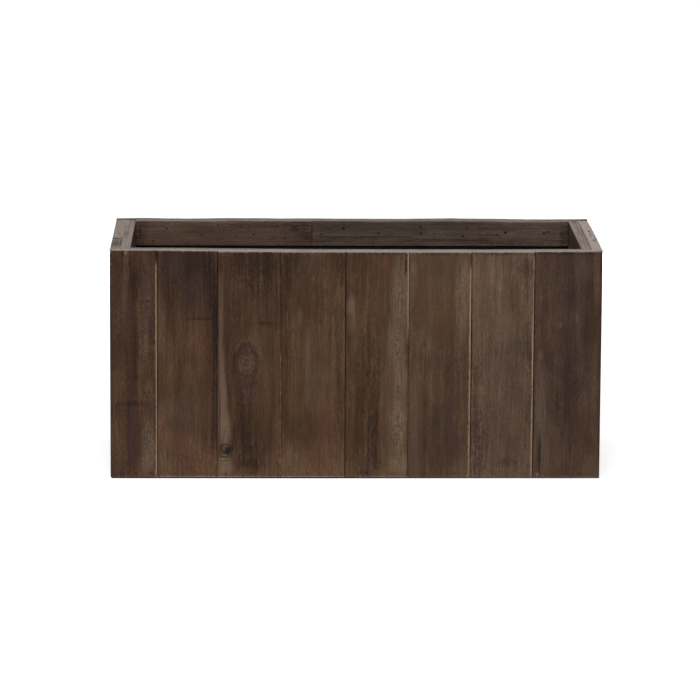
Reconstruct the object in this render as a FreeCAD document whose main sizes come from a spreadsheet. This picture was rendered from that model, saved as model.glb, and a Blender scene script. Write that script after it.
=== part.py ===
import FreeCAD, Part
import math
import os

import Sketcher

# Trough planter of upright boards, nailed to a floor and to a ring of top rails, with a lift-out liner.
# The origin is on the ground under the middle, +Z is up, and the front faces -Y.

# Driving sizes in millimetres: name, value, meaning
SIZES = (
    ("length", 800, "outside length, left to right"),
    ("depth", 350, "outside depth, front to back"),
    ("height", 377, "from the ground to the rim"),
    ("board_thick", 17, "thickness of the wall boards and floor boards"),
    ("board_gap", 1, "open joint between two wall boards"),
    ("arris", 1.2, "bevel on the long outer edges of a wall board"),
    ("foot_arris", 2, "bevel at the foot of a wall board"),
    ("top_arris", 2.4, "deepest worn bevel at the top of a wall board"),
    ("corner_round", 3, "rounding of the four upright corners of the trough"),
    ("strip_thick", 16, "thickness of the strips that rails and cleats are cut from"),
    ("strip_wide", 42, "width of these strips"),
    ("strip_arris", 1, "bevel on the upper inner edge of a rail"),
    ("floor_gap", 6, "drainage gap between two floor boards"),
    ("brad_wide", 2.2, "width of a brad, along the wall"),
    ("brad_thick", 1.6, "thickness of a brad, up the wall"),
    ("brad_point", 2.5, "length of a brad's chisel point"),
    ("brad_clear", 0.1, "room round a brad in its hole"),
    ("rail_brad_long", 28, "length of the brads that hold boards to a rail"),
    ("floor_brad_long", 40, "length of the brads that hold boards to the floor"),
    ("brad_row_high", 12, "upper row of rail brads, below the rim"),
    ("brad_row_low", 24, "lower row of rail brads, below the rim"),
    ("liner_clear", 3, "room between the liner's lip and the rails"),
    ("liner_drop", 1, "the liner's lip lies this far below the rails"),
    ("liner_wall", 2.5, "wall of the moulded liner"),
    ("liner_draft", 8, "lean of each liner wall over its height"),
    ("liner_corner", 30, "radius of the liner's upright corners, outside"),
    ("liner_lip_wide", 5, "how far the lip stands out from the liner wall"),
    ("liner_lip_high", 4, "height of the lip"),
    ("liner_lip_round", 1.5, "rounding of the lip's outer edges"),
    ("liner_bend", 9, "bend between liner wall and bottom, outside"),
    ("drain_bore", 10, "diameter of a drain hole"),
    ("drain_pitch", 180, "spacing of the drain holes along the trough"),
)

# Where the joints between wall boards lie, as shares of the wall, from its left end seen from outside
JOINT_SHARES = {
    "front": (0.096, 0.2182, 0.348, 0.4785, 0.607, 0.7344, 0.8622),
    "back": (0.130, 0.2325, 0.330, 0.465, 0.600, 0.730, 0.865),
    "left": (0.310, 0.628),
    "right": (0.345, 0.672),
}

# How worn the top of each board is, as shares of the deepest top bevel
TOP_WEAR_SHARES = {
    "front": (0.35, 0.50, 0.85, 1.00, 0.90, 1.00, 0.75, 0.45),
    "back": (0.45, 0.60, 0.50, 0.70, 0.55, 0.45, 0.60, 0.40),
    "left": (0.50, 0.60, 0.45),
    "right": (0.45, 0.55, 0.50),
}

# Where the two brads of a board go, as shares of its seat on the rail or the floor
BRAD_SEAT_SHARES = (0.29, 0.73)

# Where the brads of each front board go, as shares of its seat on the floor
FRONT_FLOOR_BRAD_SHARES = (
    (0.418, 0.832),
    (0.290, 0.730),
    (0.135, 0.520, 0.585),
    (0.410, 0.800),
    (0.350, 0.740),
    (0.280, 0.770),
    (0.096, 0.405),
    (0.127, 0.710),
)

# Where the brads of each back board go: share of its seat on the rail, and how far below the rim, as a share
# of the rail's width
BACK_RAIL_BRAD_SHARES = (
    ((0.477, 0.400), (0.594, 0.494)),
    ((0.441, 0.436), (0.616, 0.523)),
    ((0.231, 0.269), (0.335, 0.604)),
    ((0.188, 0.469), (0.189, 0.211), (0.857, 0.485)),
    ((0.398, 0.300), (0.749, 0.507)),
    ((0.326, 0.669), (0.444, 0.200), (0.841, 0.533)),
    ((0.118, 0.620), (0.396, 0.140), (0.665, 0.554)),
    ((0.287, 0.316), (0.607, 0.799)),
)

# Where the two lengths of the back rail are butted, as a share of the back wall
RAIL_JOINT_SHARE = 0.584

# Number of floor boards, and of drain holes over each gap between them
FLOOR_COUNT = 3
DRAIN_COUNT = 4

# Each wall: turn about Z in degrees, direction along it, direction into the trough, and its run
INNER_DEPTH = "(Sizes.depth - 2 * Sizes.board_thick)"
WALLS = {
    "front": {"turn": 0, "along": (1, 0), "inward": (0, 1), "run": "Sizes.length"},
    "back": {"turn": 180, "along": (-1, 0), "inward": (0, -1), "run": "Sizes.length"},
    "left": {"turn": -90, "along": (0, -1), "inward": (1, 0), "run": INNER_DEPTH},
    "right": {"turn": 90, "along": (0, 1), "inward": (-1, 0), "run": INNER_DEPTH},
}
LONG_WALLS = ("front", "back")

RAIL_FOOT = "(Sizes.height - Sizes.strip_wide)"
RAIL_FACE = "(Sizes.board_thick + Sizes.strip_thick)"
FLOOR_LONG = "(Sizes.length - 2 * Sizes.board_thick)"
FLOOR_WIDE = f"(({INNER_DEPTH} - {FLOOR_COUNT - 1} * Sizes.floor_gap) / {FLOOR_COUNT})"
FLOOR_PITCH = f"({FLOOR_WIDE} + Sizes.floor_gap)"
FLOOR_BRAD_LEVEL = "(Sizes.board_thick / 2)"
NEAR = 1e-4

doc = FreeCAD.newDocument("Planter")
sheet = doc.addObject("Spreadsheet::Sheet", "Sizes")
pieces = []


def fill_sheet():
    """Writes the driving sizes and the shares into the sheet, one row each."""
    rows = list(SIZES)
    rows.append(("rail_joint_share", RAIL_JOINT_SHARE, "joint of the back rail, as a share of the wall"))
    for wall in WALLS:
        for number, share in enumerate(JOINT_SHARES[wall], 1):
            rows.append((f"{wall}_joint_share_{number}", share, "joint, as a share of the wall"))
        for number, share in enumerate(TOP_WEAR_SHARES[wall], 1):
            rows.append((f"{wall}_wear_share_{number}", share, "top wear, as a share of top_arris"))
    for row, (name, size, meaning) in enumerate(rows, 1):
        sheet.set(f"A{row}", name)
        sheet.set(f"B{row}", str(size))
        sheet.set(f"C{row}", meaning)
        sheet.setAlias(f"B{row}", name)
    doc.recompute()


def value(expression):
    """The number that an expression over the sheet gives."""
    return float(sheet.evalExpression(expression))


def new_body(label):
    """An empty piece, which is also listed for the hand-in files."""
    body = doc.addObject("PartDesign::Body", label)
    body.Label = label
    pieces.append(body)
    return body


def origin_feature(body, role):
    """One of the body's own origin planes or axes."""
    return next(feature for feature in body.Origin.OriginFeatures if feature.Role == role)


def new_sketch(body, name, role, offset="0"):
    """A sketch on an origin plane, moved along the plane's normal by an expression."""
    sketch = body.newObject("Sketcher::SketchObject", name)
    sketch.AttachmentSupport = (origin_feature(body, role), [""])
    sketch.MapMode = "FlatFace"
    sketch.setExpression("AttachmentOffset.Base.z", offset)
    return sketch


def set_distance(sketch, kind, ends, expression):
    """A distance in a sketch that follows an expression."""
    index = sketch.addConstraint(Sketcher.Constraint(kind, *ends, value(expression)))
    sketch.setExpression(f"Constraints[{index}]", expression)


def add_rectangle(sketch, left, low, wide, high):
    """A rectangle whose lower left corner and sides follow expressions."""
    x, y = value(left), value(low)
    corners = [
        FreeCAD.Vector(x, y, 0),
        FreeCAD.Vector(x + value(wide), y, 0),
        FreeCAD.Vector(x + value(wide), y + value(high), 0),
        FreeCAD.Vector(x, y + value(high), 0),
    ]
    first = sketch.GeometryCount
    for number in range(4):
        sketch.addGeometry(Part.LineSegment(corners[number], corners[(number + 1) % 4]))
    for number in range(4):
        following = first + (number + 1) % 4
        sketch.addConstraint(Sketcher.Constraint("Coincident", first + number, 2, following, 1))
        direction = "Vertical" if number % 2 else "Horizontal"
        sketch.addConstraint(Sketcher.Constraint(direction, first + number))
    if left == "0":
        sketch.addConstraint(Sketcher.Constraint("PointOnObject", first, 1, -2))
    else:
        set_distance(sketch, "DistanceX", (-1, 1, first, 1), left)
    if low == "0":
        sketch.addConstraint(Sketcher.Constraint("PointOnObject", first, 1, -1))
    else:
        set_distance(sketch, "DistanceY", (-1, 1, first, 1), low)
    set_distance(sketch, "DistanceX", (first, 1, first, 2), wide)
    set_distance(sketch, "DistanceY", (first + 1, 1, first + 1, 2), high)


def pad_rectangle(body, wide, thick, high):
    """A squared length of timber, standing on the body's XY plane with a corner at its origin."""
    sketch = new_sketch(body, body.Label + "_plan", "XY_Plane")
    add_rectangle(sketch, "0", "0", wide, thick)
    pad = body.newObject("PartDesign::Pad", body.Label + "_pad")
    pad.Profile = sketch
    pad.setExpression("Length", high)
    doc.recompute()


def edge_names(shape, chosen):
    """Names of the edges whose ends all pass a test."""
    names = []
    for number, edge in enumerate(shape.Edges, 1):
        if all(chosen(vertex.Point) for vertex in edge.Vertexes):
            names.append(f"Edge{number}")
    return names


def dress(body, kind, chosen, size):
    """A bevel or a rounding on the chosen edges, with a size that follows an expression."""
    base = body.Tip
    names = edge_names(base.Shape, chosen)
    feature = body.newObject(f"PartDesign::{kind}", f"{body.Label}_{kind.lower()}")
    feature.Base = (base, names)
    feature.setExpression("Radius" if kind == "Fillet" else "Size", size)
    doc.recompute()


def cut(body, sketch, length=None, reverse=False):
    """A pocket from a sketch, through everything or to a depth, that has to take material away."""
    before = body.Tip.Shape.Volume
    pocket = body.newObject("PartDesign::Pocket", sketch.Name + "_cut")
    pocket.Profile = sketch
    pocket.Reversed = reverse
    if length is None:
        pocket.Type = "ThroughAll"
    else:
        pocket.setExpression("Length", length)
    doc.recompute()
    if body.Tip.Shape.Volume > before - NEAR:
        raise ValueError(f"{sketch.Name} cuts nothing from {body.Label}")


def cut_brad_holes(body, name, role, holes, offset="0", length=None, reverse=False):
    """Holes for brads, each given by its middle across and up the sketch plane."""
    if not holes:
        return
    sketch = new_sketch(body, f"{body.Label}_{name}", role, offset)
    for across, up in holes:
        wide = "(Sizes.brad_wide + 2 * Sizes.brad_clear)"
        high = "(Sizes.brad_thick + 2 * Sizes.brad_clear)"
        add_rectangle(sketch, f"({across}) - {wide} / 2", f"({up}) - {high} / 2", wide, high)
    cut(body, sketch, length, reverse)


def place(piece, wall, along="0", inward="0", up="0"):
    """Moves a piece to its place on a wall, measured from the wall's outer lower left corner."""
    frame = WALLS[wall]
    piece.Placement.Rotation = FreeCAD.Rotation(FreeCAD.Vector(0, 0, 1), frame["turn"])
    half_run = f"{frame['run']} / 2"
    outside = "Sizes.depth / 2" if wall in LONG_WALLS else "Sizes.length / 2"
    for number, axis in enumerate("xy"):
        from_middle = f"{frame['along'][number]} * (({along}) - {half_run})"
        from_outside = f"{frame['inward'][number]} * (({inward}) - {outside})"
        piece.setExpression(f"Placement.Base.{axis}", f"{from_middle} + {from_outside}")
    piece.setExpression("Placement.Base.z", up)


def board_span(wall, number):
    """Where a wall board starts and ends along its wall, as two expressions."""
    run = WALLS[wall]["run"]
    count = len(JOINT_SHARES[wall]) + 1
    start = "0"
    end = run
    if number > 1:
        start = f"({run} * Sizes.{wall}_joint_share_{number - 1} + Sizes.board_gap / 2)"
    if number < count:
        end = f"({run} * Sizes.{wall}_joint_share_{number} - Sizes.board_gap / 2)"
    return start, end


def board_numbers(wall):
    """The numbers of a wall's boards."""
    return range(1, len(JOINT_SHARES[wall]) + 2)


def seat_brads(wall, number, margin, shares):
    """Places along the wall of a board's brads, on the stretch that lies inside both margins."""
    start, end = board_span(wall, number)
    first = f"max({start}; {margin})"
    last = f"min({end}; {WALLS[wall]['run']} - {margin})"
    return [f"({first} + {share} * ({last} - {first}))" for share in shares]


def rail_brads(wall, number):
    """A board's brads in the top rail: place along the wall, and level."""
    margin = RAIL_FACE if wall in LONG_WALLS else "Sizes.strip_thick"
    shares = BRAD_SEAT_SHARES
    drops = ["Sizes.brad_row_high", "Sizes.brad_row_low"]
    if number % 2:
        drops.reverse()
    if wall == "back":
        shares, drop_shares = zip(*BACK_RAIL_BRAD_SHARES[number - 1])
        drops = [f"{share} * Sizes.strip_wide" for share in drop_shares]
    levels = [f"(Sizes.height - {drop})" for drop in drops]
    return list(zip(seat_brads(wall, number, margin, shares), levels))


def floor_brads(wall, number):
    """A board's brads in the edge of the floor: place along the wall, and level."""
    margin = "Sizes.board_thick" if wall in LONG_WALLS else "0"
    shares = FRONT_FLOOR_BRAD_SHARES[number - 1] if wall == "front" else BRAD_SEAT_SHARES
    return [(along, FLOOR_BRAD_LEVEL) for along in seat_brads(wall, number, margin, shares)]


def wall_board(wall, number):
    """An upright board with bevelled outer edges and the holes of its brads."""
    body = new_body(f"{wall}_board_{number}")
    start, end = board_span(wall, number)
    wide = f"({end} - {start})"
    pad_rectangle(body, wide, "Sizes.board_thick", "Sizes.height")
    far, high = value(wide), value("Sizes.height")

    # The two ends of a long wall are the trough's corners, where the side of the board shows too
    corner_sides = []
    if wall in LONG_WALLS and number == 1:
        corner_sides.append(0)
    if wall in LONG_WALLS and number == len(board_numbers(wall)):
        corner_sides.append(far)
    joint_sides = [side for side in (0, far) if side not in corner_sides]

    def shows(point):
        return abs(point.y) < NEAR or any(abs(point.x - side) < NEAR for side in corner_sides)

    def upright_at(side):
        return lambda point: abs(point.y) < NEAR and abs(point.x - side) < NEAR

    for side in corner_sides:
        dress(body, "Fillet", upright_at(side), "Sizes.corner_round")
    wear = f"Sizes.{wall}_wear_share_{number}"
    dress(body, "Chamfer", lambda point: shows(point) and abs(point.z) < NEAR, "Sizes.foot_arris")
    dress(body, "Chamfer", lambda point: shows(point) and abs(point.z - high) < NEAR,
          f"Sizes.top_arris * {wear}")
    for side in joint_sides:
        dress(body, "Chamfer", upright_at(side), "Sizes.arris")

    floor_holes = [(f"{along} - {start}", up) for along, up in floor_brads(wall, number)]
    cut_brad_holes(body, "floor_holes", "XZ_Plane", floor_holes)
    rail_holes = [(f"{along} - {start}", up) for along, up in rail_brads(wall, number)]
    skin = f"({RAIL_FACE} - Sizes.rail_brad_long - Sizes.brad_clear)"
    cut_brad_holes(body, "rail_holes", "XZ_Plane", rail_holes, f"-{skin}")
    place(body, wall, start)


def top_rail(label, wall, start, end):
    """A length of strip on edge inside the rim, with the holes of the brads that go through it."""
    body = new_body(label)
    pad_rectangle(body, f"({end} - {start})", "Sizes.strip_thick", "Sizes.strip_wide")
    thick, high = value("Sizes.strip_thick"), value("Sizes.strip_wide")
    dress(body, "Chamfer",
          lambda point: abs(point.y - thick) < NEAR and abs(point.z - high) < NEAR, "Sizes.strip_arris")
    holes = []
    for number in board_numbers(wall):
        for along, up in rail_brads(wall, number):
            if value(start) < value(along) < value(end):
                holes.append((f"{along} - {start}", f"{up} - {RAIL_FOOT}"))
    cut_brad_holes(body, "holes", "XZ_Plane", holes)
    place(body, wall, start, "Sizes.board_thick", RAIL_FOOT)


def top_rails():
    """The ring of rails: side rails between the long walls, front and back rails between the side rails."""
    far_end = f"(Sizes.length - {RAIL_FACE})"
    top_rail("front_top_rail", "front", RAIL_FACE, far_end)
    joint = "(Sizes.length * Sizes.rail_joint_share)"
    top_rail("back_top_rail_right", "back", RAIL_FACE, joint)
    top_rail("back_top_rail_left", "back", joint, far_end)
    top_rail("left_top_rail", "left", "0", INNER_DEPTH)
    top_rail("right_top_rail", "right", "0", INNER_DEPTH)


def corner_cleat(label, wall, start):
    """An upright strip in a corner, between the floor and the rail."""
    body = new_body(label)
    pad_rectangle(body, "Sizes.strip_wide", "Sizes.strip_thick", f"({RAIL_FOOT} - Sizes.board_thick)")
    place(body, wall, start, "Sizes.board_thick", "Sizes.board_thick")


def corner_cleats():
    """Four cleats on the side walls, each against a long wall."""
    far_start = f"({INNER_DEPTH} - Sizes.strip_wide)"
    corner_cleat("back_left_cleat", "left", "0")
    corner_cleat("front_left_cleat", "left", far_start)
    corner_cleat("front_right_cleat", "right", "0")
    corner_cleat("back_right_cleat", "right", far_start)


def side_floor_holes(wall, start, end):
    """Brads from a side wall that land in one floor board, measured from the floor board's front edge."""
    holes = []
    for number in board_numbers(wall):
        for along, up in floor_brads(wall, number):
            from_front = f"({INNER_DEPTH} - {along})" if wall == "left" else along
            if value(start) < value(from_front) < value(end):
                holes.append((f"{from_front} - {start}", up))
    return holes


def floor_board(number):
    """A floor board along the trough, with the holes of the brads that come in through the walls."""
    body = new_body(f"floor_board_{number}")
    start = f"({number - 1} * {FLOOR_PITCH})"
    pad_rectangle(body, FLOOR_LONG, FLOOR_WIDE, "Sizes.board_thick")
    depth = "(Sizes.floor_brad_long - Sizes.board_thick + Sizes.brad_clear)"

    if number in (1, FLOOR_COUNT):
        wall = "front" if number == 1 else "back"
        holes = []
        for board in board_numbers(wall):
            for along, up in floor_brads(wall, board):
                across = f"{along} - Sizes.board_thick"
                if wall == "back":
                    across = f"{FLOOR_LONG} - ({across})"
                holes.append((across, up))
        offset = "0" if wall == "front" else f"-({FLOOR_WIDE} - {depth})"
        cut_brad_holes(body, "edge_holes", "XZ_Plane", holes, offset, depth)

    end = f"({start} + {FLOOR_WIDE})"
    left_holes = side_floor_holes("left", start, end)
    cut_brad_holes(body, "left_holes", "YZ_Plane", left_holes, "0", depth, True)
    right_holes = side_floor_holes("right", start, end)
    cut_brad_holes(body, "right_holes", "YZ_Plane", right_holes, f"({FLOOR_LONG} - {depth})", depth, True)
    place(body, "front", "Sizes.board_thick", f"Sizes.board_thick + {start}")


def brad_solid(along, head, up, long, direction):
    """One brad: a flat wire with a chisel point, driven from its head inwards (1) or outwards (-1)."""
    half = value("Sizes.brad_wide") / 2
    thick = value("Sizes.brad_thick")
    tip = head + direction * long
    shoulder = tip - direction * value("Sizes.brad_point")
    outline = [(along - half, head), (along + half, head), (along + half, shoulder), (along, tip),
               (along - half, shoulder)]
    points = [FreeCAD.Vector(x, y, up - thick / 2) for x, y in outline]
    face = Part.Face(Part.makePolygon(points + points[:1]))
    return face.extrude(FreeCAD.Vector(0, 0, thick))


def brad_group(label, wall, brads_of, head, long, direction):
    """All the brads of one kind in one wall, as one group of solids."""
    solids = []
    for number in board_numbers(wall):
        for along, up in brads_of(wall, number):
            solids.append(brad_solid(value(along), value(head), value(up), value(long), direction))
    group = doc.addObject("Part::Feature", label)
    group.Label = label
    group.Shape = Part.makeCompound(solids)
    place(group, wall)
    pieces.append(group)


def rounded_rectangle(sketch, long, wide, radius):
    """A rectangle with round corners about the sketch's origin, given by expressions."""
    half_x, half_y, bend = value(long) / 2, value(wide) / 2, value(radius)
    first = sketch.GeometryCount
    middle_x, middle_y = half_x - bend, half_y - bend
    ends = (
        ((-middle_x, -half_y), (middle_x, -half_y)),
        ((half_x, -middle_y), (half_x, middle_y)),
        ((middle_x, half_y), (-middle_x, half_y)),
        ((-half_x, middle_y), (-half_x, -middle_y)),
    )
    centres = ((1, -1), (1, 1), (-1, 1), (-1, -1))
    turns = (-90, 0, 90, 180)
    for (start, end), (side_x, side_y), turn in zip(ends, centres, turns):
        sketch.addGeometry(Part.LineSegment(FreeCAD.Vector(*start, 0), FreeCAD.Vector(*end, 0)))
        centre = FreeCAD.Vector(side_x * middle_x, side_y * middle_y, 0)
        circle = Part.Circle(centre, FreeCAD.Vector(0, 0, 1), bend)
        sketch.addGeometry(Part.ArcOfCircle(circle, math.radians(turn), math.radians(turn + 90)))
    for number in range(4):
        line, arc = first + 2 * number, first + 2 * number + 1
        following = first + (2 * number + 2) % 8
        sketch.addConstraint(Sketcher.Constraint("Tangent", line, 2, arc, 1))
        sketch.addConstraint(Sketcher.Constraint("Tangent", arc, 2, following, 1))
        if number:
            sketch.addConstraint(Sketcher.Constraint("Equal", first + 1, arc))
    sketch.addConstraint(Sketcher.Constraint("Horizontal", first))
    sketch.addConstraint(Sketcher.Constraint("Symmetric", first + 1, 3, first + 5, 3, -1, 1))
    set_distance(sketch, "DistanceX", (first, 1, first, 2), f"({long}) - 2 * ({radius})")
    set_distance(sketch, "DistanceY", (first + 2, 1, first + 2, 2), f"({wide}) - 2 * ({radius})")
    set_distance(sketch, "Radius", (first + 1,), radius)


def lean_walls(body, top_level):
    """Leans the upright faces inwards below the top, and bends them into the bottom."""
    base = body.Tip
    names = []
    for number, face in enumerate(base.Shape.Faces, 1):
        if face.BoundBox.ZLength > NEAR:
            names.append(f"Face{number}")
    draft = body.newObject("PartDesign::Draft", body.Label + "_draft")
    draft.Base = (base, names)
    draft.NeutralPlane = (base, [face_at(base.Shape, top_level)])
    draft.Reversed = True
    draft.setExpression("Angle", f"atan(Sizes.liner_draft / {top_level})")
    doc.recompute()
    dress(body, "Fillet", lambda point: abs(point.z) < NEAR, "Sizes.liner_bend")


def face_at(shape, level):
    """Name of the flat face at a level."""
    for number, face in enumerate(shape.Faces, 1):
        box = face.BoundBox
        if box.ZLength < NEAR and abs(box.ZMin - value(level)) < NEAR:
            return f"Face{number}"
    raise ValueError(f"no face at {level}")


def hollow(body, top_level):
    """Opens the top and leaves a wall of even thickness."""
    base = body.Tip
    shell = body.newObject("PartDesign::Thickness", body.Label + "_shell")
    shell.Base = (base, [face_at(base.Shape, top_level)])
    shell.Reversed = True
    shell.Join = "Intersection"
    shell.setExpression("Value", "Sizes.liner_wall")
    doc.recompute()


def liner_lip(body, lip_long, lip_wide, top_level):
    """A lip round the top of the liner, rounded on its upper outer edge."""
    ring = new_sketch(body, "liner_lip", "XY_Plane", f"{top_level} - Sizes.liner_lip_high")
    corner = "(Sizes.liner_corner + Sizes.liner_lip_wide)"
    rounded_rectangle(ring, lip_long, lip_wide, corner)
    bite = "(Sizes.liner_lip_wide + Sizes.liner_wall / 2)"
    rounded_rectangle(ring, f"{lip_long} - 2 * {bite}", f"{lip_wide} - 2 * {bite}", f"({corner} - {bite})")
    pad = body.newObject("PartDesign::Pad", "liner_lip_pad")
    pad.Profile = ring
    pad.setExpression("Length", "Sizes.liner_lip_high")
    doc.recompute()
    far_x, far_y = value(lip_long) / 2, value(lip_wide) / 2
    high = value(top_level)

    def on_rim(point):
        outside = abs(abs(point.x) - far_x) < NEAR or abs(abs(point.y) - far_y) < NEAR
        return outside and abs(point.z - high) < NEAR

    dress(body, "Fillet", on_rim, "Sizes.liner_lip_round")


def drain_holes(body):
    """Rows of holes in the liner's bottom, each over a gap in the floor."""
    sketch = new_sketch(body, "liner_drain", "XY_Plane")
    row = f"(Sizes.drain_pitch * {DRAIN_COUNT - 1})"
    for number in range(FLOOR_COUNT - 1):
        across = f"(({number} - {FLOOR_COUNT - 2} / 2) * {FLOOR_PITCH})"
        middle = FreeCAD.Vector(-value(row) / 2, value(across), 0)
        sketch.addGeometry(Part.Circle(middle, FreeCAD.Vector(0, 0, 1), value("Sizes.drain_bore / 2")))
        set_distance(sketch, "DistanceX", (-1, 1, number, 3), f"-{row} / 2")
        set_distance(sketch, "DistanceY", (-1, 1, number, 3), across)
        set_distance(sketch, "Radius", (number,), "Sizes.drain_bore / 2")
    cut(body, sketch, "Sizes.liner_wall", True)
    pattern = body.newObject("PartDesign::LinearPattern", "liner_drains")
    pattern.Originals = [body.Tip]
    pattern.Direction = (origin_feature(body, "X_Axis"), [""])
    pattern.Occurrences = DRAIN_COUNT
    pattern.setExpression("Length", row)
    body.Tip = pattern
    doc.recompute()


def liner():
    """A moulded tray with leaning walls, a lip round its top and a row of drain holes."""
    body = new_body("liner")
    top_level = f"({RAIL_FOOT} - Sizes.liner_drop - Sizes.board_thick)"
    lip_long = f"(Sizes.length - 2 * {RAIL_FACE} - 2 * Sizes.liner_clear)"
    lip_wide = f"(Sizes.depth - 2 * {RAIL_FACE} - 2 * Sizes.liner_clear)"
    plan = new_sketch(body, "liner_plan", "XY_Plane")
    rounded_rectangle(plan, f"{lip_long} - 2 * Sizes.liner_lip_wide",
                      f"{lip_wide} - 2 * Sizes.liner_lip_wide", "Sizes.liner_corner")
    pad = body.newObject("PartDesign::Pad", "liner_pad")
    pad.Profile = plan
    pad.setExpression("Length", top_level)
    doc.recompute()
    lean_walls(body, top_level)
    hollow(body, top_level)
    liner_lip(body, lip_long, lip_wide, top_level)
    drain_holes(body)
    body.setExpression("Placement.Base.z", "Sizes.board_thick")


def check_and_write():
    """Stops at any failed object or bad shape, then writes one file for each piece."""
    doc.recompute()
    for item in doc.Objects:
        if "Invalid" in item.State or "Error" in item.State:
            raise ValueError(f"{item.Label} failed: {item.State}")
    for piece in pieces:
        if piece.Shape.isNull() or not piece.Shape.isValid():
            raise ValueError(f"{piece.Label} has no valid shape")
    os.makedirs("parts", exist_ok=True)
    for piece in pieces:
        piece.Shape.exportStep(f"parts/{piece.Label}.step")


fill_sheet()
for wall_name in WALLS:
    for board_number in board_numbers(wall_name):
        wall_board(wall_name, board_number)
top_rails()
corner_cleats()
for board_number in range(1, FLOOR_COUNT + 1):
    floor_board(board_number)
for wall_name in WALLS:
    brad_group(f"{wall_name}_rail_brads", wall_name, rail_brads, RAIL_FACE, "Sizes.rail_brad_long", -1)
    brad_group(f"{wall_name}_floor_brads", wall_name, floor_brads, "0", "Sizes.floor_brad_long", 1)
liner()
check_and_write()
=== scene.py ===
"""Trough planter: stained boards round a floor and a ring of top rails, with a black lift-out liner."""

import math
import random

import bmesh
import bpy
from mathutils import Matrix, Vector, noise


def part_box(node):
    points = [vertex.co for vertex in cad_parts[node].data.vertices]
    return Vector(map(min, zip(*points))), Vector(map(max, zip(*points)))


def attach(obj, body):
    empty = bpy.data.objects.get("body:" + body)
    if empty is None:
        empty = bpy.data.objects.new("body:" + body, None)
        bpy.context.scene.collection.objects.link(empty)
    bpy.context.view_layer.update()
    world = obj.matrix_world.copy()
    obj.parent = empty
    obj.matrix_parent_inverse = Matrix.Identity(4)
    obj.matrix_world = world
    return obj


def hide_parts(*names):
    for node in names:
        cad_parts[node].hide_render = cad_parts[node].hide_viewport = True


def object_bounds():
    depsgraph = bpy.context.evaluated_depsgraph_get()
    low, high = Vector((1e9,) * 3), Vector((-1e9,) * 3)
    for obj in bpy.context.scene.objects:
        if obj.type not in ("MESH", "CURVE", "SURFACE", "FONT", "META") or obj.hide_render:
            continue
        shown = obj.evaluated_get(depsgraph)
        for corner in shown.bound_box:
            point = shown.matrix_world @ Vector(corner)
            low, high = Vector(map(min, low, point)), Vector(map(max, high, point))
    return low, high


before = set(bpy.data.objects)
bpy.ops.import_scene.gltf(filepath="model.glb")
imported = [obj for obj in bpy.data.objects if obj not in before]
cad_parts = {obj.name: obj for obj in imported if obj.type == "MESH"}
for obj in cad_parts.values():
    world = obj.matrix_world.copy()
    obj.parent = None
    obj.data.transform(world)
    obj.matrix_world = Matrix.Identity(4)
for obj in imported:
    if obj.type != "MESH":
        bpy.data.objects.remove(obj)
cad_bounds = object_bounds()

MM = 0.001

# Directions of a plank whose show face points the named way: to its right, into the wood, and up its face
FACING = {
    "front": ((1, 0, 0), (0, 1, 0), (0, 0, 1)),
    "back": ((-1, 0, 0), (0, -1, 0), (0, 0, 1)),
    "left": ((0, -1, 0), (1, 0, 0), (0, 0, 1)),
    "right": ((0, 1, 0), (-1, 0, 0), (0, 0, 1)),
    "top": ((1, 0, 0), (0, 0, -1), (0, 1, 0)),
}

# Camera of the photograph: distance, aim, height angle, turn to the left and roll, its frame in pixels,
# and its focal length in frames
DISTANCE, AIM = 6.9709, Vector((-0.0059, 0, 0.1819))
RISE, TURN, ROLL = math.radians(10.374), math.radians(-1.248), math.radians(0.318)
FRAME_SIDE = 700
FOCAL = 4175.4 / FRAME_SIDE
# What a pixel of the photograph covers on the planter
PIXEL = 1.62 * MM

_, DEPTH_HALF, RIM = cad_bounds[1]
BACK_RAIL_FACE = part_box("back_top_rail_left")[0].y


def camera_turn():
    """The camera's directions: to its right, up and backwards."""
    away = Vector((math.sin(TURN) * math.cos(RISE), -math.cos(TURN) * math.cos(RISE), math.sin(RISE)))
    level = (-away).cross(Vector((0, 0, 1))).normalized()
    upward = level.cross(-away)
    across = math.cos(ROLL) * level + math.sin(ROLL) * upward
    return across, math.cos(ROLL) * upward - math.sin(ROLL) * level, away


def add(name, data):
    """Adds an object to the scene."""
    thing = bpy.data.objects.new(name, data)
    bpy.context.scene.collection.objects.link(thing)
    return thing


def add_mesh(name, bm):
    """Adds an object with a finished mesh."""
    mesh = bpy.data.meshes.new(name)
    bm.to_mesh(mesh)
    bm.free()
    return add(name, mesh)


def spot(pixel, axis, level):
    """Where the sight line through a pixel of the photograph meets a plane square to an axis."""
    across, upward, away = camera_turn()
    sideways = (pixel[0] / FRAME_SIDE - 0.5) / FOCAL
    upwards = (0.5 - pixel[1] / FRAME_SIDE) / FOCAL
    ray = sideways * across + upwards * upward - away
    eye = AIM + away * DISTANCE
    return eye + ray * ((level - eye[axis]) / ray[axis])


def tone(red, green, blue):
    """A colour given as it looks on screen, from 0 to 255, as a shader colour."""
    linear = []
    for level in (red, green, blue):
        level /= 255
        linear.append(level / 12.92 if level <= 0.04045 else ((level + 0.055) / 1.055) ** 2.4)
    return (*linear, 1)


def tones(*colours):
    """Colours from dark to light."""
    return [tone(*colour) for colour in colours]


class Wire:
    """A value in a material, which can be used in sums."""

    def __init__(self, paint, socket):
        self.paint = paint
        self.socket = socket

    def __add__(self, other):
        return self.paint.math("ADD", self, other)

    def __sub__(self, other):
        return self.paint.math("SUBTRACT", self, other)

    def __mul__(self, other):
        return self.paint.math("MULTIPLY", self, other)

    __radd__ = __add__
    __rmul__ = __mul__


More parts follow.
